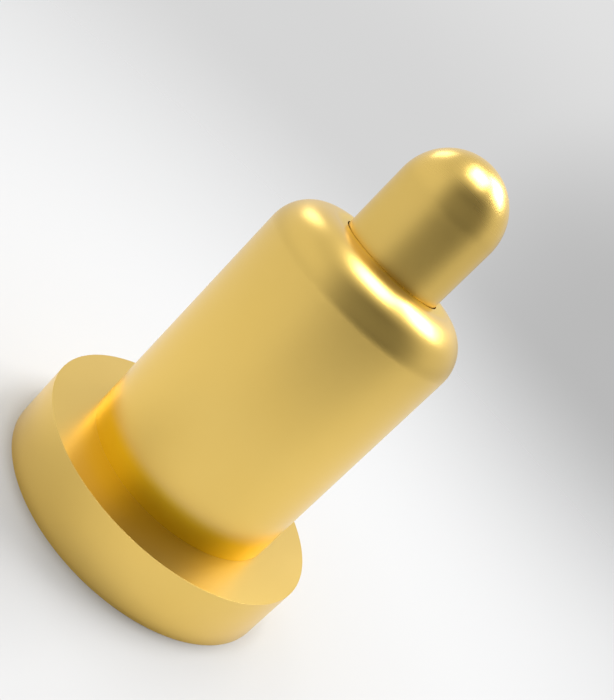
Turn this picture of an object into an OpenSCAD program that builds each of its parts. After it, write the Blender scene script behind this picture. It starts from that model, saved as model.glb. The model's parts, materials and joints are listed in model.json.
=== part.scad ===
// Surface-mount spring-loaded contact pin: a flanged barrel, turned in one piece and rolled in at
// its mouth, a round-nosed plunger that slides in it, and the coil spring between the two.
// Millimetres. +Z is up the pin, and the origin is the centre of the flange's solder face.

/* [Flange] */
// Diameter of the solder flange
flange_d = 2.6; // [2.2:0.05:3.6]
// Thickness of the solder flange
flange_t = 0.51; // [0.35:0.01:0.8]

/* [Barrel] */
// Outside diameter of the barrel
barrel_d = 1.8; // [1.7:0.05:2.1]
// Height of the barrel, from the flange's upper face to the top of the mouth
barrel_h = 2.4; // [2.3:0.05:3.2]
// Thickness of the barrel's wall and of the lip rolled from it
wall_t = 0.24; // [0.2:0.01:0.28]
// Radius of the shoulder where the mouth is rolled in
shoulder_r = 0.35; // [0.3:0.01:0.4]
// Metal left between the bore and the solder face
floor_t = 0.4; // [0.3:0.01:0.5]
// Diameter of the dimple that the pilot drill leaves in the floor
dimple_d = 0.5; // [0.3:0.05:0.6]
// Point angle of the pilot drill
drill_angle = 118; // [90:1:140]

/* [Plunger] */
// Diameter of the plunger's stem, and of its round nose
stem_d = 0.9; // [0.7:0.05:1]
// Height of the nose above the mouth when nothing presses it
stem_out = 1.01; // [0.6:0.01:1.4]
// Distance that the plunger can be pressed in before its tail meets the floor
travel = 0.8; // [0.5:0.05:0.9]
// Length of the collar that runs in the bore and keeps the plunger in
collar_h = 0.45; // [0.3:0.01:0.6]
// Chamfer round the collar's lower edge
collar_chamfer = 0.03; // [0.01:0.01:0.05]
// Chamfer round the end of the tail
tail_chamfer = 0.08; // [0.03:0.01:0.12]

/* [Spring] */
// Diameter of the spring's wire
wire_d = 0.14; // [0.1:0.01:0.15]
// Turns that work, between the closed turns
active_turns = 4.5; // [3:0.5:5]
// Closed turns at each end
closed_turns = 1; // [1:0.25:1.5]

/* [Fits] */
// Clearance all round the stem in the mouth, and round the collar in the bore
slide_gap = 0.01; // [0.01:0.005:0.03]
// Clearance all round between the spring and the bore
spring_gap = 0.04; // [0.02:0.01:0.06]
// Clearance all round between the tail and the spring
tail_gap = 0.05; // [0.02:0.01:0.08]
// Room left under the tail when the plunger is pressed right in
stop_gap = 0.02; // [0.01:0.01:0.05]
// Gap between neighbouring closed turns, as a share of the wire's diameter
closed_gap = 0.06; // [0.04:0.01:0.1]

/* [Hidden] */
$fn = 96;

gold = [0.84, 0.68, 0.34];
steel = [0.74, 0.75, 0.77];

// Radii of the pieces, each worked out from the one that it runs in
barrel_r = barrel_d / 2;
bore_r = barrel_r - wall_t;
stem_r = stem_d / 2;
mouth_r = stem_r + slide_gap;
collar_r = bore_r - slide_gap;
wire_r = wire_d / 2;
coil_r = bore_r - spring_gap - wire_r;
tail_r = coil_r - wire_r - tail_gap;

// Corner inside the rolled lip, and the corner of the collar, which stays clear of it
lip_corner = shoulder_r - wall_t;
collar_corner = lip_corner + slide_gap;

// Heights above the solder face, with the plunger out against the lip
mouth_z = flange_t + barrel_h;
lip_z = mouth_z - wall_t;
collar_z = lip_z - collar_h;
tip_z = mouth_z + stem_out;
spring_h = collar_z - floor_t;
tail_z = floor_t + travel + stop_gap;
dimple_h = dimple_d / 2 / tan(drill_angle / 2);

// Spring: rings of the swept wire, and the share of the working turns over which the pitch eases
wire_sides = 10;
rings_per_turn = 24;
turns = active_turns + 2 * closed_turns;
closed_pitch = wire_d * (1 + closed_gap);
ease = 0.15;

// How far a cutting profile runs past the face that it opens through
past = 0.1;

// Quarter of a disc, in the corner where X and Y are positive
module quarter(r) {
    intersection() {
        circle(r);
        square(r);
    }
}

// Half section of a disc from the axis out to r, h high, with its upper corner rounded
module round_topped(r, h, corner) {
    square([r, h - corner]);
    square([r - corner, h]);
    translate([r - corner, h - corner]) quarter(corner);
}

// Half section of a disc from the axis out to r, h high, with its lower corner chamfered
module chamfered_below(r, h, chamfer) {
    polygon([[0, 0], [r - chamfer, 0], [r, chamfer], [r, h], [0, h]]);
}

// Half section of the metal that the lathe leaves: the flange and the barrel, uncut inside
module barrel_outside() {
    square([flange_d / 2, flange_t]);
    round_topped(barrel_r, mouth_z, shoulder_r);
}

// Half section of the cavity: the drill's dimple, the bore up to the lip, and the mouth
module barrel_inside() {
    translate([0, floor_t]) {
        polygon([[0, -dimple_h], [dimple_d / 2, 0], [0, 0]]);
        round_topped(bore_r, lip_z - floor_t, lip_corner);
        square([mouth_r, mouth_z - floor_t + past]);
    }
}

// Flanged barrel, with the wall rolled in over the collar to make the mouth
module barrel() {
    color(gold)
    rotate_extrude()
    difference() {
        barrel_outside();
        barrel_inside();
    }
}

// Plunger: tail, collar, stem and round nose, turned in one piece
module plunger() {
    color(gold)
    rotate_extrude() {
        translate([0, tail_z])
            chamfered_below(tail_r, collar_z - tail_z + collar_chamfer, tail_chamfer);
        translate([0, collar_z]) {
            intersection() {
                chamfered_below(collar_r, collar_h, collar_chamfer);
                round_topped(collar_r, collar_h, collar_corner);
            }
            square([stem_r, tip_z - stem_r - collar_z]);
        }
        translate([0, tip_z - stem_r]) quarter(stem_r);
    }
}

// Share of the working rise that is done at the share u of the working turns. The pitch grows
// evenly over the first part, stays, and falls evenly over the last, so the wire has no kink.
function eased(u) =
    u <= 0 ? 0 :
    u >= 1 ? 1 :
    u < ease ? u * u / (2 * ease * (1 - ease)) :
    u > 1 - ease ? 1 - (1 - u) * (1 - u) / (2 * ease * (1 - ease)) :
    (u - ease / 2) / (1 - ease);

// Height of the wire's centre above the floor, t turns from its lower end
function wire_z(t) =
    closed_pitch * t + (spring_h - closed_pitch * turns) * eased((t - closed_turns) / active_turns);

// One ring of the wire t turns up, starting at its top. What would stand past an end of the spring
// is ground off level with it.
function wire_ring(t) = [
    for (j = [0 : wire_sides - 1])
        let (
            around = 90 + 360 * j / wire_sides,
            r = coil_r + wire_r * cos(around),
            z = min(max(wire_z(t) + wire_r * sin(around), 0), spring_h)
        )
        [r * cos(360 * t), r * sin(360 * t), floor_t + z]
];

// Compression spring with closed and ground ends, wound right-handed
module spring() {
    rings = round(turns * rings_per_turn);
    points = [for (i = [0 : rings]) each wire_ring(turns * i / rings)];
    sides = [
        for (i = [0 : rings - 1], j = [0 : wire_sides - 1])
            let (
                a = i * wire_sides + j,
                b = i * wire_sides + (j + 1) % wire_sides,
                c = a + wire_sides,
                d = b + wire_sides
            )
            each [[a, c, b], [b, c, d]]
    ];
    far = wire_sides / 2;
    last = rings * wire_sides;
    lower_end = [for (j = [1 : wire_sides - 2]) [0, j, j + 1]];
    upper_end = [
        for (j = [1 : wire_sides - 2])
            [last + far, last + (far + j + 1) % wire_sides, last + (far + j) % wire_sides]
    ];
    color(steel)
    polyhedron(points = points, faces = concat(sides, lower_end, upper_end), convexity = 20);
}

barrel();
spring();
plunger();
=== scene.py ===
"""Looks of a surface-mount, spring-loaded contact pin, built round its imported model.

Everything is in metres and in the model's own frame: +Z runs up the pin, and the origin is the
centre of the solder face. The pin comes apart into a gold-plated barrel with its solder flange, a
gold-plated plunger, and the coil spring between them.
"""

import json
import logging
import math
from collections.abc import Mapping, Sequence
from dataclasses import dataclass, field
from enum import Enum
from typing import Any

import bpy
from mathutils import Matrix, Vector


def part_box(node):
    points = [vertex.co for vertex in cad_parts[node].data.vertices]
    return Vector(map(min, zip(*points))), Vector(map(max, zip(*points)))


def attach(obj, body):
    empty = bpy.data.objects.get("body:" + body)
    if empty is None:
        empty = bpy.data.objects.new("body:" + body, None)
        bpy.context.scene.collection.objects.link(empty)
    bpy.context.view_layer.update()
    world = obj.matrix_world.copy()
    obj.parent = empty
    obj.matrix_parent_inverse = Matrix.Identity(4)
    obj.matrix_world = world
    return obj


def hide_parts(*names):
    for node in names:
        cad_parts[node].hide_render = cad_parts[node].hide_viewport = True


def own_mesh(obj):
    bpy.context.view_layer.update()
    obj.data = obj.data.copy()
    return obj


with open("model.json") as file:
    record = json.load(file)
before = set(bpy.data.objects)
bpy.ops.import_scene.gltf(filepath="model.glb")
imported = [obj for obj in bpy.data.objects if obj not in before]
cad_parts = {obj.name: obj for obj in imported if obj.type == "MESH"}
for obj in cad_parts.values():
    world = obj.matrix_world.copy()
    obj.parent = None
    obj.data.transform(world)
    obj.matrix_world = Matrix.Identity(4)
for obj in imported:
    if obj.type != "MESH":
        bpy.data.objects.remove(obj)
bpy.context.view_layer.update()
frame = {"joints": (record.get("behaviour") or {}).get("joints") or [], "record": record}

LOG = logging.getLogger("pin")
MM = 0.001
PER_MM = 1 / MM
PATH_MAP = "path"
BARREL = "barrel"
PLUNGER = "plunger"
SPRING = "spring"

# Share of a rounding's radius that is too short to count as a length
SLIVER = 1e-4

# Clearances all round the stem in the mouth, and all round the spring in the bore
SLIDE_GAP = 0.01 * MM
SPRING_GAP = 0.04 * MM

Colour = tuple[float, float, float]


# ---------------------------------------------------------------------------------------------
# Shader arithmetic
# ---------------------------------------------------------------------------------------------


class Sum(Enum):
    """What a Math node works out."""

    ADD = "ADD"
    SUBTRACT = "SUBTRACT"
    MULTIPLY = "MULTIPLY"
    GREATER = "GREATER_THAN"
    LOG = "LOGARITHM"


class VectorSum(Enum):
    """What a Vector Math node works out."""

    MULTIPLY = "MULTIPLY"
    SCALE = "SCALE"
    NORMALISE = "NORMALIZE"
    LENGTH = "LENGTH"
    DOT = "DOT_PRODUCT"

    @property
    def result(self) -> str:
        """Name of the output socket that holds the result."""
        return "Value" if self in (VectorSum.LENGTH, VectorSum.DOT) else "Vector"


class Axis(Enum):
    """One measure of a vector, by the number of its socket."""

    X = 0
    Y = 1
    Z = 2


class Socket:
    """A shader socket that can stand in an arithmetic expression on values."""

    def __init__(self, graph: "ShaderGraph", output: bpy.types.NodeSocket | None) -> None:
        """Wraps one output socket of a node in the graph."""
        self.graph = graph
        self.output = output

    def __add__(self, other: "Socket | float") -> "Socket":
        """Adds a Math node for self + other."""
        return self.graph.math(Sum.ADD, self, other)

    def __radd__(self, other: float) -> "Socket":
        """Adds a Math node for other + self."""
        return self.graph.math(Sum.ADD, other, self)

    def __sub__(self, other: "Socket | float") -> "Socket":
        """Adds a Math node for self - other."""
        return self.graph.math(Sum.SUBTRACT, self, other)

    def __rsub__(self, other: float) -> "Socket":
        """Adds a Math node for other - self."""
        return self.graph.math(Sum.SUBTRACT, other, self)

    def __mul__(self, other: "Socket | float") -> "Socket":
        """Adds a Math node for self * other."""
        return self.graph.math(Sum.MULTIPLY, self, other)

    def __rmul__(self, other: float) -> "Socket":
        """Adds a Math node for other * self."""
        return self.graph.math(Sum.MULTIPLY, other, self)

    def __gt__(self, other: "Socket | float") -> "Socket":
        """Adds a Math node that gives 1 where self > other and 0 elsewhere."""
        return self.graph.math(Sum.GREATER, self, other)


class ShaderGraph:
    """The node tree of a material or of the world."""

    def __init__(self, owner: bpy.types.Material | bpy.types.World) -> None:
        """Empties the owner's node tree, ready to be filled."""
        owner.use_nodes = True
        self.tree = owner.node_tree
        self.tree.nodes.clear()

    def add(
        self,
        kind: str,
        settings: Mapping[str, Any] | None = None,
        inputs: Mapping[str | int, Any] | None = None,
        output: str | int = 0,
    ) -> Socket:
        """Adds a node of any type.

        Args:
            kind: The node's type, without its "ShaderNode" prefix.
            settings: The node's own settings, which are set before its sockets.
            inputs: A value or a Socket for each input socket, by its name or number.
            output: The name or number of the output socket that is wanted.

        Returns:
            The wanted output socket, or an empty one if the node has no outputs.
        """
        node = self.tree.nodes.new("ShaderNode" + kind)
        for name, value in (settings or {}).items():
            setattr(node, name, value)
        for key, value in (inputs or {}).items():
            self.feed(node.inputs[key], value)
        if not node.outputs:
            return Socket(self, None)
        return Socket(self, node.outputs[output])

    def feed(self, socket: bpy.types.NodeSocket, value: Any) -> None:
        """Links a Socket to an input socket, or writes a plain value on it.

        Args:
            socket: The input socket.
            value: A Socket, a number, or a colour or vector of three numbers.
        """
        if isinstance(value, Socket):
            self.tree.links.new(value.output, socket)
        elif socket.type == "RGBA":
            socket.default_value = (*value, 1.0)
        else:
            socket.default_value = value

    def math(self, work: Sum, first: Socket | float, second: Socket | float) -> Socket:
        """Adds a Math node.

        Args:
            work: What the node works out.
            first: Its first value.
            second: Its second value.

        Returns:
            The node's result.
        """
        return self.add("Math", {"operation": work.value}, {0: first, 1: second})

    def vector(
        self, work: VectorSum, first: Socket, second: Vector | Sequence[float] | float | None = None
    ) -> Socket:
        """Adds a Vector Math node.

        Args:
            work: What the node works out.
            first: Its first vector.
            second: Its second vector, or the number that scales the first one.

        Returns:
            The node's result.
        """
        inputs: dict[str | int, Any] = {0: first}
        if second is not None:
            inputs["Scale" if work is VectorSum.SCALE else 1] = second
        return self.add("VectorMath", {"operation": work.value}, inputs, work.result)

    def measure(self, vector: Socket, axis: Axis) -> Socket:
        """Gives one measure of a vector."""
        return self.add("SeparateXYZ", inputs={0: vector}, output=axis.value)

    def ease(self, value: Socket, start: float, end: float) -> Socket:
        """Maps a value smoothly to 0 at start and 1 at end.

        Args:
            value: The value to map.
            start: Where the result is 0.
            end: Where the result is 1.

        Returns:
            The mapped value, held between 0 and 1.
        """
        settings = {"interpolation_type": "SMOOTHSTEP"}
        inputs = {"Value": value, "From Min": start, "From Max": end}
        return self.add("MapRange", settings, inputs, "Result")

    def layer(self, below: Socket | Colour, above: Socket | Colour, share: Socket | float) -> Socket:
        """Lays one colour over another.

        Args:
            below: The colour underneath.
            above: The colour that is laid over it.
            share: How much of the upper colour shows, from 0 to 1.

        Returns:
            The resulting colour.
        """
        return self.add("Mix", {"data_type": "RGBA"}, {"Factor": share, 6: below, 7: above}, 2)

    def noise(self, place: Socket, grain: float, detail: float = 2.0) -> Socket:
        """Adds three-dimensional noise.

        Args:
            place: The point in millimetres.
            grain: The size of the noise's features, in millimetres.
            detail: How many finer octaves are added.

        Returns:
            The noise's value, from 0 to 1.
        """
        inputs = {"Vector": place, "Scale": 1 / grain, "Detail": detail}
        return self.add("TexNoise", {"noise_dimensions": "3D"}, inputs)

    def streaks(self, along: Socket, grain: float, detail: float = 3.0) -> Socket:
        """Adds noise that changes along one measure only.

        Args:
            along: The measure in millimetres.
            grain: The width of the streaks, in millimetres.
            detail: How many finer octaves are added.

        Returns:
            The noise's value, from 0 to 1.
        """
        inputs = {"W": along, "Scale": 1 / grain, "Detail": detail}
        return self.add("TexNoise", {"noise_dimensions": "1D"}, inputs)

    def place_mm(self) -> Socket:
        """Returns the point on the piece, in millimetres of its own frame."""
        place = self.add("TexCoord", output="Object")
        return self.vector(VectorSum.SCALE, place, PER_MM)

    def from_ring(self, r: float, z: float) -> Socket:
        """Adds the distance from a circle round the Z axis.

        Args:
            r: Radius of the circle, in millimetres.
            z: Height of the circle, in millimetres.

        Returns:
            The distance in millimetres.
        """
        place = self.place_mm()
        flat = self.vector(VectorSum.MULTIPLY, place, (1.0, 1.0, 0.0))
        out = self.vector(VectorSum.LENGTH, flat) - r
        up = self.measure(place, Axis.Z) - z
        return self.vector(VectorSum.LENGTH, self.add("CombineXYZ", inputs={0: out, 1: up}))

    def path_mm(self) -> tuple[Socket, Socket]:
        """Returns the two measures of the piece's path map, in millimetres."""
        path = self.add("UVMap", {"uv_map": PATH_MAP})
        return self.measure(path, Axis.X), self.measure(path, Axis.Y)

    def metal(self, colour: Socket, roughness: Socket, relief: Socket) -> None:
        """Finishes the material as a metal.

        Args:
            colour: Colour of the metal.
            roughness: Its roughness.
            relief: Height of its surface, in millimetres.
        """
        inputs = {
            "Base Color": colour,
            "Metallic": 1.0,
            "Roughness": roughness,
            "Normal": self.add("Bump", inputs={"Height": relief * MM, "Distance": 1.0}),
        }
        shader = self.add("BsdfPrincipled", inputs=inputs)
        self.add("OutputMaterial", inputs={"Surface": shader})


# ---------------------------------------------------------------------------------------------
# Finishes
# ---------------------------------------------------------------------------------------------


@dataclass(frozen=True)
class PaintedReflectionCorner:
    """An inside corner of a turned piece, where a deeper gold is painted in as a painted reflection of
    gold in gold.

    Attributes:
        r: Radius of the corner, in millimetres.
        z: Height of the corner, in millimetres.
        core: Distance from the corner within which the painted reflection is at its strongest.
        reach: Distance from the corner at which it is the piece's own again.
        above: Height above which the painted reflection is laid on.
    """

    r: float
    z: float
    core: float
    reach: float
    above: float = 0.0


@dataclass(frozen=True)
class GoldPlate:
    """Satin gold plating over turned brass. Lengths are in millimetres.

    Attributes:
        name: Name of the material.
        deep: Colour where the plating is thickest.
        pale: Colour where it is thinnest.
        reflection_colour: Colour of the painted reflection of gold in gold, laid into the inside
            corners.
        reflection_corners: The piece's inside corners, where that painted reflection is laid.
        roughness: Roughness of the plating.
        mottle: Size of the soft patches in its colour.
        feed: Distance between the lathe's feed marks.
        feed_depth: Height of the feed marks.
        peel: Size of the plating's own grain.
        peel_depth: Height of that grain.
        wander: How far the roughness wanders, from patch to patch and from mark to mark.
        polished_above: Height above which contact has polished the plating, or None.
        polish: How much smoother the polished plating is.
        polish_reach: Height over which the polish comes in.
    """

    name: str
    deep: Colour = (0.868, 0.594, 0.150)
    pale: Colour = (0.888, 0.624, 0.176)
    reflection_colour: Colour = (0.950, 0.645, 0.035)
    reflection_corners: tuple[PaintedReflectionCorner, ...] = ()
    roughness: float = 0.30
    mottle: float = 0.7
    feed: float = 0.030
    feed_depth: float = 0.00012
    peel: float = 0.020
    peel_depth: float = 0.00010
    wander: float = 0.05
    polished_above: float | None = None
    polish: float = 0.03
    polish_reach: float = 0.2

    def material(self) -> bpy.types.Material:
        """Builds the material.

        Returns:
            The new material.
        """
        material = bpy.data.materials.new(self.name)
        graph = ShaderGraph(material)
        place = graph.place_mm()
        height = graph.measure(place, Axis.Z)
        along = graph.path_mm()[1]

        patches = graph.noise(place, self.mottle)
        rings = graph.streaks(along, self.feed)
        grain = graph.noise(place, self.peel, detail=1.0)

        colour = graph.layer(self.deep, self.pale, patches)
        # Painted reflection: a deeper, more saturated gold laid into each inside corner, where gold
        # faces gold.
        for reflection_corner in self.reflection_corners:
            reflection_share = 1 - graph.ease(graph.from_ring(reflection_corner.r, reflection_corner.z), reflection_corner.core, reflection_corner.reach)
            colour = graph.layer(colour, self.reflection_colour, reflection_share * (height > reflection_corner.above))
        rough = self.roughness + (patches - 0.5) * self.wander + (rings - 0.5) * self.wander
        if self.polished_above is not None:
            polished = graph.ease(height, self.polished_above, self.polished_above + self.polish_reach)
            rough = rough - polished * self.polish
        relief = rings * self.feed_depth + grain * self.peel_depth
        graph.metal(colour, rough, relief)
        return material


@dataclass(frozen=True)
class SpringWire:
    """Drawn spring steel. Lengths are in millimetres.

    Attributes:
        name: Name of the material.
        bright: Colour of the metal.
        dark: Colour of the drawing lines.
        roughness: Roughness of the wire.
        line: Width of the lines that the drawing die leaves.
        line_depth: Depth of those lines.
        mottle: Size of the soft patches that vary the lines.
        span: Values of the noise between which the colour goes from dark to bright.
    """

    name: str
    bright: Colour = (0.62, 0.61, 0.59)
    dark: Colour = (0.40, 0.39, 0.37)
    roughness: float = 0.28
    line: float = 0.012
    line_depth: float = 0.0003
    mottle: float = 0.25
    span: tuple[float, float] = (0.35, 0.95)

    def material(self) -> bpy.types.Material:
        """Builds the material.

        Returns:
            The new material.
        """
        material = bpy.data.materials.new(self.name)
        graph = ShaderGraph(material)
        place = graph.place_mm()
        across = graph.path_mm()[0]

        lines = graph.streaks(across, self.line)
        patches = graph.noise(place, self.mottle)
        colour = graph.layer(self.dark, self.bright, graph.ease(lines + patches * 0.5, *self.span))
        rough = self.roughness + (patches - 0.5) * 0.10 - (lines - 0.5) * 0.08
        graph.metal(colour, rough, lines * self.line_depth)
        return material


# ---------------------------------------------------------------------------------------------
# Turned pieces
# ---------------------------------------------------------------------------------------------


@dataclass(frozen=True)
class Corner:
    """A corner of a turned piece's half section.

    Attributes:
        r: Distance from the axis.
        z: Height above the solder face.
        rounding: Radius that the corner is rounded to.
    """

    r: float
    z: float
    rounding: float = 0.0


@dataclass(frozen=True)
class Facet:
    """A straight step of a half section, with the true surface's normal at its two ends."""

    start: Vector
    end: Vector
    start_normal: Vector
    end_normal: Vector


@dataclass
class TurnedPiece:
    """A half section turned round the pin's axis.

    Attributes:
        name: Name of the piece.
        corners: The half section from the axis, round the piece and back to the axis, with the
            metal always on its left.
        sectors: Number of steps round the axis.
        arc_step: Greatest turn of one step of a rounding, in radians.
    """

    name: str
    corners: Sequence[Corner]
    sectors: int = 192
    arc_step: float = math.radians(3.75)

    def build(self) -> bpy.types.Object:
        """Turns the half section into a closed mesh with the true surface's normals.

        Returns:
            The new object, linked to the scene.
        """
        facets = self.facets()
        points = [facets[0].start] + [facet.end for facet in facets]
        rings = [i for i, point in enumerate(points) if point.x > 0]
        first = {ring: k * self.sectors for k, ring in enumerate(rings)}
        vertices = [self.around(points[ring], j) for ring in rings for j in range(self.sectors)]
        poles = [i for i in range(len(points)) if i not in first]
        for pole in poles:
            first[pole] = len(vertices)
            vertices.append(Vector((0.0, 0.0, points[pole].y)))

        faces: list[tuple[int, ...]] = []
        normals: list[Vector] = []
        path: list[tuple[float, float]] = []
        length = 0.0
        for i, facet in enumerate(facets):
            ends = (length * PER_MM, (length + (facet.end - facet.start).length) * PER_MM)
            length += (facet.end - facet.start).length
            for j in range(self.sectors):
                corners = self.quad(i, i + 1, j, first, poles)
                faces.append(tuple(vertex for vertex, _, _ in corners))
                for _, sector, upper in corners:
                    normal = facet.end_normal if upper else facet.start_normal
                    normals.append(self.around(normal, sector))
                    path.append((sector / self.sectors, ends[upper]))

        mesh = bpy.data.meshes.new(self.name)
        mesh.from_pydata(vertices, [], faces)
        layer = mesh.uv_layers.new(name=PATH_MAP)
        layer.uv.foreach_set("vector", [x for pair in path for x in pair])
        mesh.normals_split_custom_set(normals)
        return linked(self.name, mesh)

    def quad(
        self, lower: int, upper: int, sector: int, first: Mapping[int, int], poles: Sequence[int]
    ) -> list[tuple[int, float, bool]]:
        """Lists the corners of one face between two rings.

        Args:
            lower: Number of the ring at the facet's start.
            upper: Number of the ring at its end.
            sector: The face's step round the axis.
            first: The first vertex of each ring.
            poles: The rings that are a single vertex on the axis.

        Returns:
            For each corner its vertex, its step round the axis, and whether it is on the upper ring.
        """
        following = (sector + 1) % self.sectors
        if lower in poles:
            return [
                (first[lower], sector + 0.5, False),
                (first[upper] + following, sector + 1, True),
                (first[upper] + sector, sector, True),
            ]
        if upper in poles:
            return [
                (first[lower] + sector, sector, False),
                (first[lower] + following, sector + 1, False),
                (first[upper], sector + 0.5, True),
            ]
        return [
            (first[lower] + sector, sector, False),
            (first[lower] + following, sector + 1, False),
            (first[upper] + following, sector + 1, True),
            (first[upper] + sector, sector, True),
        ]

    def around(self, flat: Vector, step: float) -> Vector:
        """Turns a point or normal of the half section to a step round the axis."""
        angle = math.tau * step / self.sectors
        return Vector((flat.x * math.cos(angle), flat.x * math.sin(angle), flat.y))

    def facets(self) -> list[Facet]:
        """Breaks the half section into short straight steps.

        Returns:
            The steps, in order from the axis back to the axis.
        """
        at = [Vector((corner.r, corner.z)) for corner in self.corners]
        steps: list[Facet] = []
        reached = at[0]
        for i in range(1, len(at)):
            ahead = (at[i] - at[i - 1]).normalized()
            square = Vector((ahead.y, -ahead.x))
            rounding = self.corners[i].rounding
            if i == len(at) - 1 or rounding == 0:
                steps.append(Facet(reached, at[i], square, square))
                reached = at[i]
                continue
            onward = (at[i + 1] - at[i]).normalized()
            turn = ahead.angle_signed(onward) * -1
            setback = rounding * math.tan(abs(turn) / 2)
            arc_start = at[i] - ahead * setback
            if (arc_start - reached).length > rounding * SLIVER:
                steps.append(Facet(reached, arc_start, square, square))
            side = math.copysign(1.0, turn)
            centre = arc_start - square * rounding * side
            count = max(2, math.ceil(abs(turn) / self.arc_step))
            reached = arc_start
            for k in range(count):
                before = rotated(square, turn * k / count)
                after = rotated(square, turn * (k + 1) / count)
                point = centre + after * rounding * side
                if abs(point.x) < rounding * SLIVER:
                    point = Vector((0.0, point.y))
                steps.append(Facet(reached, point, before, after))
                reached = point
        return [step for step in steps if (step.end - step.start).length > 0]


def rotated(flat: Vector, angle: float) -> Vector:
    """Turns a flat vector anticlockwise by an angle in radians."""
    cos, sin = math.cos(angle), math.sin(angle)
    return Vector((flat.x * cos - flat.y * sin, flat.x * sin + flat.y * cos))


def linked(name: str, mesh: bpy.types.Mesh) -> bpy.types.Object:
    """Makes an object of a mesh and links it to the scene."""
    piece = bpy.data.objects.new(name, mesh)
    bpy.context.scene.collection.objects.link(piece)
    return piece


# ---------------------------------------------------------------------------------------------
# The pin
# ---------------------------------------------------------------------------------------------


@dataclass
class Barrel:
    """Solder flange, tube and rolled mouth, turned in one piece. Lengths are in metres.

    Attributes:
        flange_r: Radius of the solder flange.
        height: Height of the mouth above the solder face.
        tube_r: Outside radius of the tube.
        mouth_r: Radius of the hole that the stem slides in.
        flange_t: Thickness of the flange.
        wall_t: Thickness of the tube's wall and of its lip.
        shoulder_r: Radius of the rolled shoulder.
        floor_t: Metal under the bore.
        dimple_r: Radius of the pilot drill's dimple.
        drill_angle: Point angle of the pilot drill, in degrees.
        edge: Rounding that the plating leaves on a sharp edge.
        mouth_edge: Rounding of the mouth's two edges.
        piece: The barrel's object, once it is built.
    """

    flange_r: float
    height: float
    tube_r: float
    mouth_r: float
    flange_t: float = 0.51 * MM
    wall_t: float = 0.24 * MM
    shoulder_r: float = 0.35 * MM
    floor_t: float = 0.40 * MM
    dimple_r: float = 0.25 * MM
    drill_angle: float = 118.0
    edge: float = 0.001 * MM
    mouth_edge: float = 0.002 * MM
    piece: bpy.types.Object = field(init=False)

    @property
    def bore_r(self) -> float:
        """Radius of the bore."""
        return self.tube_r - self.wall_t

    @property
    def dimple_h(self) -> float:
        """Depth of the dimple."""
        return self.dimple_r / math.tan(math.radians(self.drill_angle / 2))

    @property
    def lip_z(self) -> float:
        """Height of the lip's underside."""
        return self.height - self.wall_t

    def build(self) -> None:
        """Turns the barrel's half section and puts it in place of the model's barrel."""
        section = [
            Corner(0.0, 0.0),
            Corner(self.flange_r, 0.0, self.edge),
            Corner(self.flange_r, self.flange_t, self.edge),
            Corner(self.tube_r, self.flange_t),
            Corner(self.tube_r, self.height, self.shoulder_r),
            Corner(self.mouth_r, self.height, self.mouth_edge),
            Corner(self.mouth_r, self.lip_z, self.mouth_edge),
            Corner(self.bore_r, self.lip_z, self.shoulder_r - self.wall_t),
            Corner(self.bore_r, self.floor_t),
            Corner(self.dimple_r, self.floor_t),
            Corner(0.0, self.floor_t - self.dimple_h),
        ]
        self.piece = TurnedPiece("barrel_plated", section).build()
        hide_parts(BARREL)
        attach(self.piece, BARREL)

    def dress(self) -> None:
        """Plates the barrel, with a painted reflection of gold in gold where the tube meets the flange
        and at the mouth.
        """
        # Painted reflection: deeper gold painted in at the tube's foot and round the mouth.
        step = self.flange_t * PER_MM
        foot = PaintedReflectionCorner(self.tube_r * PER_MM, step, core=0.14, reach=0.26, above=step + self.edge * PER_MM)
        mouth = PaintedReflectionCorner(self.mouth_r * PER_MM, self.height * PER_MM, core=0.04, reach=0.13)
        plate = GoldPlate("gold_plate_barrel", reflection_corners=(foot, mouth))
        self.piece.data.materials.append(plate.material())


@dataclass
class Plunger:
    """Round nose, stem, collar and tail, turned in one piece. Lengths are in metres.

    Attributes:
        collar_r: Radius of the collar that runs in the bore.
        tail_z: Height of the tail's end.
        tip_z: Height of the nose's tip.
        collar_z: Height of the collar's seat on the spring.
        lip_z: Height of the lip that the collar stops against.
        collar_corner: Rounding of the collar's upper corner, which stays clear of the lip's.
        stem_r: Radius of the stem and of the nose.
        tail_r: Radius of the tail.
        collar_chamfer: Chamfer round the collar's lower edge.
        tail_chamfer: Chamfer round the tail's end.
        piece: The plunger's object, once it is built.
    """

    collar_r: float
    tail_z: float
    tip_z: float
    collar_z: float
    lip_z: float
    collar_corner: float
    stem_r: float = 0.45 * MM
    tail_r: float = 0.43 * MM
    collar_chamfer: float = 0.03 * MM
    tail_chamfer: float = 0.08 * MM
    piece: bpy.types.Object = field(init=False)

    def build(self) -> None:
        """Turns the plunger's half section and puts it in place of the model's plunger."""
        section = [
            Corner(0.0, self.tail_z),
            Corner(self.tail_r - self.tail_chamfer, self.tail_z),
            Corner(self.tail_r, self.tail_z + self.tail_chamfer),
            Corner(self.tail_r, self.collar_z),
            Corner(self.collar_r - self.collar_chamfer, self.collar_z),
            Corner(self.collar_r, self.collar_z + self.collar_chamfer),
            Corner(self.collar_r, self.lip_z, self.collar_corner),
            Corner(self.stem_r, self.lip_z),
            Corner(self.stem_r, self.tip_z, self.stem_r),
            Corner(0.0, self.tip_z),
        ]
        self.piece = TurnedPiece("plunger_plated", section).build()
        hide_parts(PLUNGER)
        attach(self.piece, PLUNGER)

    def dress(self) -> None:
        """Gives the plunger its plating, a little polished at the nose by the pads it touches."""
        plate = GoldPlate("gold_plate_plunger", polished_above=(self.tip_z - self.stem_r) * PER_MM)
        self.piece.data.materials.append(plate.material())


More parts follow.
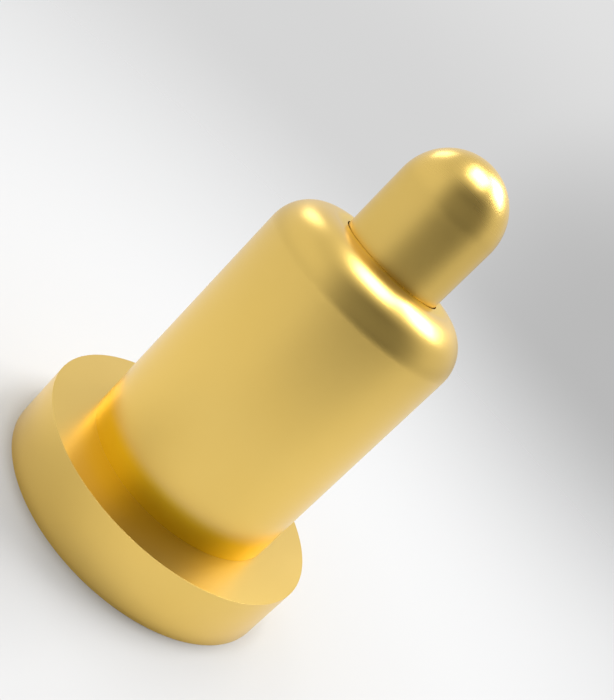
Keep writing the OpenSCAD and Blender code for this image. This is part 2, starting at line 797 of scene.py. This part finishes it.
@dataclass
class Spring:
    """Coil spring with closed and ground ends. Lengths are in metres.

    Attributes:
        floor_z: Height of the seat under the spring.
        top_z: Height of the seat over it.
        coil_r: Radius of the wire's centre line.
        pressed: Distance that the spring is shortened by at the joint's limit.
        joint: Name of the joint that would shorten it; not used.
        wire_r: Radius of the wire.
        active_turns: Turns that work.
        closed_turns: Closed turns at each end.
        closed_pitch: Rise of the closed turns, in wire diameters a turn.
        ease: Share of the working turns over which the pitch grows, and over which it falls.
        sides: Sides of the wire's section.
        steps: Sections in each turn.
        crease: Angle between two faces above which the edge between them stays sharp.
        piece: The spring's object, once it is built.
    """

    floor_z: float
    top_z: float
    coil_r: float
    pressed: float
    joint: str
    wire_r: float = 0.07 * MM
    active_turns: float = 4.5
    closed_turns: float = 1.0
    closed_pitch: float = 1.06
    ease: float = 0.15
    sides: int = 20
    steps: int = 56
    crease: float = math.radians(35)
    piece: bpy.types.Object = field(init=False)

    @property
    def height(self) -> float:
        """Length of the spring at rest."""
        return self.top_z - self.floor_z

    @property
    def turns(self) -> float:
        """Turns from one end of the wire to the other."""
        return self.active_turns + 2 * self.closed_turns

    def rise(self, turn: float) -> float:
        """Gives the height of the wire's centre above the seat.

        Args:
            turn: Turns from the lower end of the wire.

        Returns:
            The height.
        """
        closed = self.closed_pitch * 2 * self.wire_r
        share = min(max((turn - self.closed_turns) / self.active_turns, 0.0), 1.0)
        steady = 2 * self.ease * (1 - self.ease)
        if share < self.ease:
            eased = share * share / steady
        elif share > 1 - self.ease:
            eased = 1 - (1 - share) ** 2 / steady
        else:
            eased = (share - self.ease / 2) / (1 - self.ease)
        return closed * turn + (self.height - closed * self.turns) * eased

    def build(self) -> None:
        """Sweeps the wire, grinds its ends flat, and puts it in place of the model's spring."""
        count = round(self.turns * self.steps)
        vertices: list[Vector] = []
        for i in range(count + 1):
            turn = self.turns * i / count
            for j in range(self.sides):
                around = math.pi / 2 + math.tau * j / self.sides
                r = self.coil_r + self.wire_r * math.cos(around)
                z = self.rise(turn) + self.wire_r * math.sin(around)
                z = self.floor_z + min(max(z, 0.0), self.height)
                angle = math.tau * turn
                vertices.append(Vector((r * math.cos(angle), r * math.sin(angle), z)))

        faces: list[tuple[int, ...]] = []
        path: list[tuple[float, float]] = []
        for i in range(count):
            for j in range(self.sides):
                a = i * self.sides + j
                b = i * self.sides + (j + 1) % self.sides
                faces.append((a, b, b + self.sides, a + self.sides))
                path += [self.unrolled(i, j), self.unrolled(i, j + 1)]
                path += [self.unrolled(i + 1, j + 1), self.unrolled(i + 1, j)]
        last = count * self.sides
        for face in (range(self.sides - 1, -1, -1), range(last, last + self.sides)):
            faces.append(tuple(face))
            path += [self.unrolled(face[0] // self.sides, vertex % self.sides) for vertex in face]

        mesh = bpy.data.meshes.new("spring_wire")
        mesh.from_pydata(vertices, [], faces)
        layer = mesh.uv_layers.new(name=PATH_MAP)
        layer.uv.foreach_set("vector", [x for pair in path for x in pair])
        mesh.shade_smooth()
        mesh.set_sharp_from_angle(angle=self.crease)
        self.piece = linked("spring_wire", mesh)
        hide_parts(SPRING)
        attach(self.piece, BARREL)
        keep = 1 - self.pressed / self.height
        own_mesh(self.piece)

    def unrolled(self, section: int, side: int) -> tuple[float, float]:
        """Gives the place on the flattened wire of one vertex.

        Args:
            section: Number of the section along the wire.
            side: Number of the side round it.

        Returns:
            Millimetres round the wire and millimetres along it.
        """
        round_wire = math.tau * self.wire_r * side / self.sides
        along_wire = math.tau * self.coil_r * section / self.steps
        return round_wire * PER_MM, along_wire * PER_MM

    def dress(self) -> None:
        """Gives the spring the finish of its wire."""
        self.piece.data.materials.append(SpringWire("spring_steel").material())


# ---------------------------------------------------------------------------------------------
# The studio
# ---------------------------------------------------------------------------------------------


def heading(azimuth: float, elevation: float) -> Vector:
    """Gives the direction from the pin to an azimuth and elevation in degrees.

    Args:
        azimuth: Degrees from the camera's side, -Y, towards +X.
        elevation: Degrees above the floor.

    Returns:
        The direction, of length 1.
    """
    a, e = math.radians(azimuth), math.radians(elevation)
    return Vector((math.sin(a) * math.cos(e), -math.cos(a) * math.cos(e), math.sin(e)))


@dataclass(frozen=True)
class Softbox:
    """A soft rectangular lamp, far enough away to light the whole pin alike.

    Attributes:
        name: Name of the lamp.
        azimuth: Degrees round the pin from the camera's side, towards +X.
        elevation: Degrees above the floor.
        width: Degrees that it covers from side to side.
        height: Degrees that it covers from top to bottom.
        radiance: How bright its face is; 1 shows as white.
        distance: Metres from the pin.
    """

    name: str
    azimuth: float
    elevation: float
    width: float
    height: float
    radiance: float
    distance: float = 0.09

    def place(self, aim: Vector) -> None:
        """Hangs the lamp and points it at the pin.

        Args:
            aim: The point that it faces.
        """
        lamp = bpy.data.lights.new(self.name, "AREA")
        lamp.shape = "RECTANGLE"
        lamp.size = 2 * self.distance * math.tan(math.radians(self.width / 2))
        lamp.size_y = 2 * self.distance * math.tan(math.radians(self.height / 2))
        lamp.energy = self.radiance * math.pi * lamp.size * lamp.size_y
        stand = bpy.data.objects.new(self.name, lamp)
        bpy.context.scene.collection.objects.link(stand)
        outward = heading(self.azimuth, self.elevation)
        stand.location = aim + outward * self.distance
        stand.rotation_mode = "QUATERNION"
        stand.rotation_quaternion = outward.to_track_quat("Z", "Y")
        stand.visible_camera = False


@dataclass(frozen=True)
class Camera:
    """The camera. Lengths are in metres.

    Attributes:
        distance: Distance from the point that it aims at.
        aim_z: Height of that point on the pin's axis.
        elevation: Degrees above the floor.
        roll: Degrees that the camera is rolled, which leans the pin to the right.
        lens: Focal length in millimetres on a sensor 36 mm long.
    """

    distance: float = 7.092 * MM
    aim_z: float = 1.970 * MM
    elevation: float = 16.0
    roll: float = 45.0
    lens: float = 46.98

    def place(self) -> None:
        """Sets up the camera and makes it the scene's own."""
        data = bpy.data.cameras.new("camera")
        data.sensor_width = 36.0
        data.lens = self.lens
        data.clip_start = self.distance * 0.01
        data.clip_end = self.distance * 1000
        camera = bpy.data.objects.new("camera", data)
        bpy.context.scene.collection.objects.link(camera)
        outward = heading(0.0, self.elevation)
        upright = outward.to_track_quat("Z", "Y")
        camera.rotation_mode = "QUATERNION"
        camera.rotation_quaternion = (
            upright @ Matrix.Rotation(math.radians(self.roll), 3, "Z").to_quaternion()
        )
        camera.location = Vector((0.0, 0.0, self.aim_z)) + outward * self.distance
        bpy.context.scene.camera = camera


@dataclass(frozen=True)
class Shade:
    """A darker patch in the backdrop.

    Attributes:
        azimuth: Degrees round the pin from the camera's side, towards +X.
        elevation: Degrees above the floor.
        core: Degrees from the middle within which it is at its darkest.
        reach: Degrees from the middle at which it has gone.
        depth: How much it takes off the backdrop's tone.
        seen: Whether the camera sees it too, and not only the lit surfaces.
    """

    azimuth: float
    elevation: float
    core: float
    reach: float
    depth: float
    seen: bool = True

    def tone(self, graph: ShaderGraph, direction: Socket) -> Socket:
        """Adds the patch's nodes.

        Args:
            graph: The world's graph.
            direction: The direction from the pin.

        Returns:
            What the patch takes off the backdrop's tone.
        """
        middle = heading(self.azimuth, self.elevation)
        nearness = graph.vector(VectorSum.DOT, direction, middle)
        reach = math.cos(math.radians(self.reach))
        core = math.cos(math.radians(self.core))
        taken = graph.ease(nearness, reach, core) * self.depth
        if self.seen:
            return taken
        return taken * (1 - graph.add("LightPath", output="Is Camera Ray"))


@dataclass(frozen=True)
class Studio:
    """Pale floor, backdrop and soft lamps. Lengths are in metres.

    Attributes:
        aim_z: Height that the lamps point at.
        floor_r: Radius of the floor.
        floor_sides: Sides of the floor.
        fade_from: Distance from the pin at which the floor starts to fade into the backdrop.
        fade_to: Distance at which it has faded away.
        floor_colour: Colour of the floor.
        tone: Tone of the backdrop at the height of the floor.
        tone_right: What the tone gains towards +X.
        tone_up: What the tone gains a little above the floor.
        tone_top: What it gains again towards the top.
        low: Sines of the elevations between which tone_up comes in.
        high: Sines of the elevations between which tone_top comes in.
        shades: Darker patches in the backdrop.
        softboxes: The lamps.
    """

    aim_z: float
    floor_r: float = 150 * MM
    floor_sides: int = 96
    fade_from: float = 3.5 * MM
    fade_to: float = 38 * MM
    floor_colour: Colour = (0.630, 0.632, 0.636)
    tone: float = 0.66
    tone_right: float = -0.05
    tone_up: float = 0.10
    tone_top: float = -0.12
    low: tuple[float, float] = (-0.02, 0.22)
    high: tuple[float, float] = (0.50, 0.80)
    shades: tuple[Shade, ...] = (
        Shade(27.0, 24.0, 26.0, 71.0, 0.50, seen=False),
        Shade(165.0, -3.0, 2.0, 17.0, 0.16),
    )
    softboxes: tuple[Softbox, ...] = (
        Softbox("overhead", 174.0, 83.0, 25.0, 28.0, 8.0),
        Softbox("back_right", 140.0, 51.5, 27.0, 22.0, 9.5),
        Softbox("back_left", -136.0, 31.0, 16.0, 16.0, 2.7),
    )

    def build(self) -> None:
        """Lays the floor, paints the backdrop and hangs the lamps."""
        self.lay_floor()
        self.paint_world()
        for softbox in self.softboxes:
            softbox.place(Vector((0.0, 0.0, self.aim_z)))

    def lay_floor(self) -> None:
        """Lays a round floor under the pin that fades into the backdrop."""
        rim = [math.tau * k / self.floor_sides for k in range(self.floor_sides)]
        edge = [(self.floor_r * math.cos(a), self.floor_r * math.sin(a), 0.0) for a in rim]
        mesh = bpy.data.meshes.new("floor")
        mesh.from_pydata(edge, [], [range(len(edge))])
        floor = linked("floor", mesh)

        material = bpy.data.materials.new("floor_paint")
        graph = ShaderGraph(material)
        distance = graph.vector(VectorSum.LENGTH, graph.place_mm())
        decades = graph.math(Sum.LOG, distance, 10.0)
        start = math.log10(self.fade_from * PER_MM)
        end = math.log10(self.fade_to * PER_MM)
        fade = graph.ease(decades, start, end)
        paint = graph.add("BsdfDiffuse", inputs={"Color": self.floor_colour})
        clear = graph.add("BsdfTransparent")
        mixed = graph.add("MixShader", inputs={0: fade, 1: paint, 2: clear})
        graph.add("OutputMaterial", inputs={"Surface": mixed})
        mesh.materials.append(material)

    def paint_world(self) -> None:
        """Paints the backdrop round the studio."""
        world = bpy.data.worlds.new("studio")
        bpy.context.scene.world = world
        graph = ShaderGraph(world)
        place = graph.add("TexCoord", output="Generated")
        direction = graph.vector(VectorSum.NORMALISE, place)
        right = graph.measure(direction, Axis.X)
        up = graph.measure(direction, Axis.Z)
        tone = self.tone + right * self.tone_right + graph.ease(up, *self.low) * self.tone_up
        tone = tone + graph.ease(up, *self.high) * self.tone_top
        for shade in self.shades:
            tone = tone - shade.tone(graph, direction)
        background = graph.add("Background", inputs={"Color": tone, "Strength": 1.0})
        graph.add("OutputWorld", inputs={"Surface": background})


def sized_pin() -> list[Barrel | Plunger | Spring]:
    """Sets up the pin's sub-assemblies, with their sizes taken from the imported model.

    Returns:
        The three sub-assemblies.
    """
    joint = frame["joints"][0]
    mounts = {mount["name"]: mount for mount in frame["record"]["mounts"]}
    barrel_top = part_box(BARREL)[1]
    plunger_low, plunger_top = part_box(PLUNGER)
    spring_low, spring_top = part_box(SPRING)

    plunger = Plunger(
        collar_r=plunger_top.x,
        tail_z=plunger_low.z,
        tip_z=plunger_top.z,
        collar_z=spring_top.z,
        lip_z=barrel_top.z - Barrel.wall_t,
        collar_corner=Barrel.shoulder_r - Barrel.wall_t + SLIDE_GAP,
    )
    barrel = Barrel(
        flange_r=barrel_top.x,
        height=barrel_top.z,
        tube_r=mounts["barrel_outside"]["dims"]["r_mm"] * MM,
        mouth_r=plunger.stem_r + SLIDE_GAP,
    )
    spring = Spring(
        floor_z=spring_low.z,
        top_z=spring_top.z,
        coil_r=barrel.bore_r - SPRING_GAP - Spring.wire_r,
        pressed=joint["range_m"][1],
        joint=joint["name"],
    )
    return [barrel, plunger, spring]


def main() -> None:
    """Builds the pin and the studio round it."""
    logging.basicConfig(level=logging.INFO, format="%(message)s")
    bpy.context.scene.view_settings.view_transform = "Standard"
    camera = Camera()
    camera.place()
    for part in sized_pin():
        part.build()
        part.dress()
        LOG.info("%s: %d faces", part.piece.name, len(part.piece.data.polygons))
    Studio(aim_z=camera.aim_z).build()


if __name__ == "__main__":
    main()
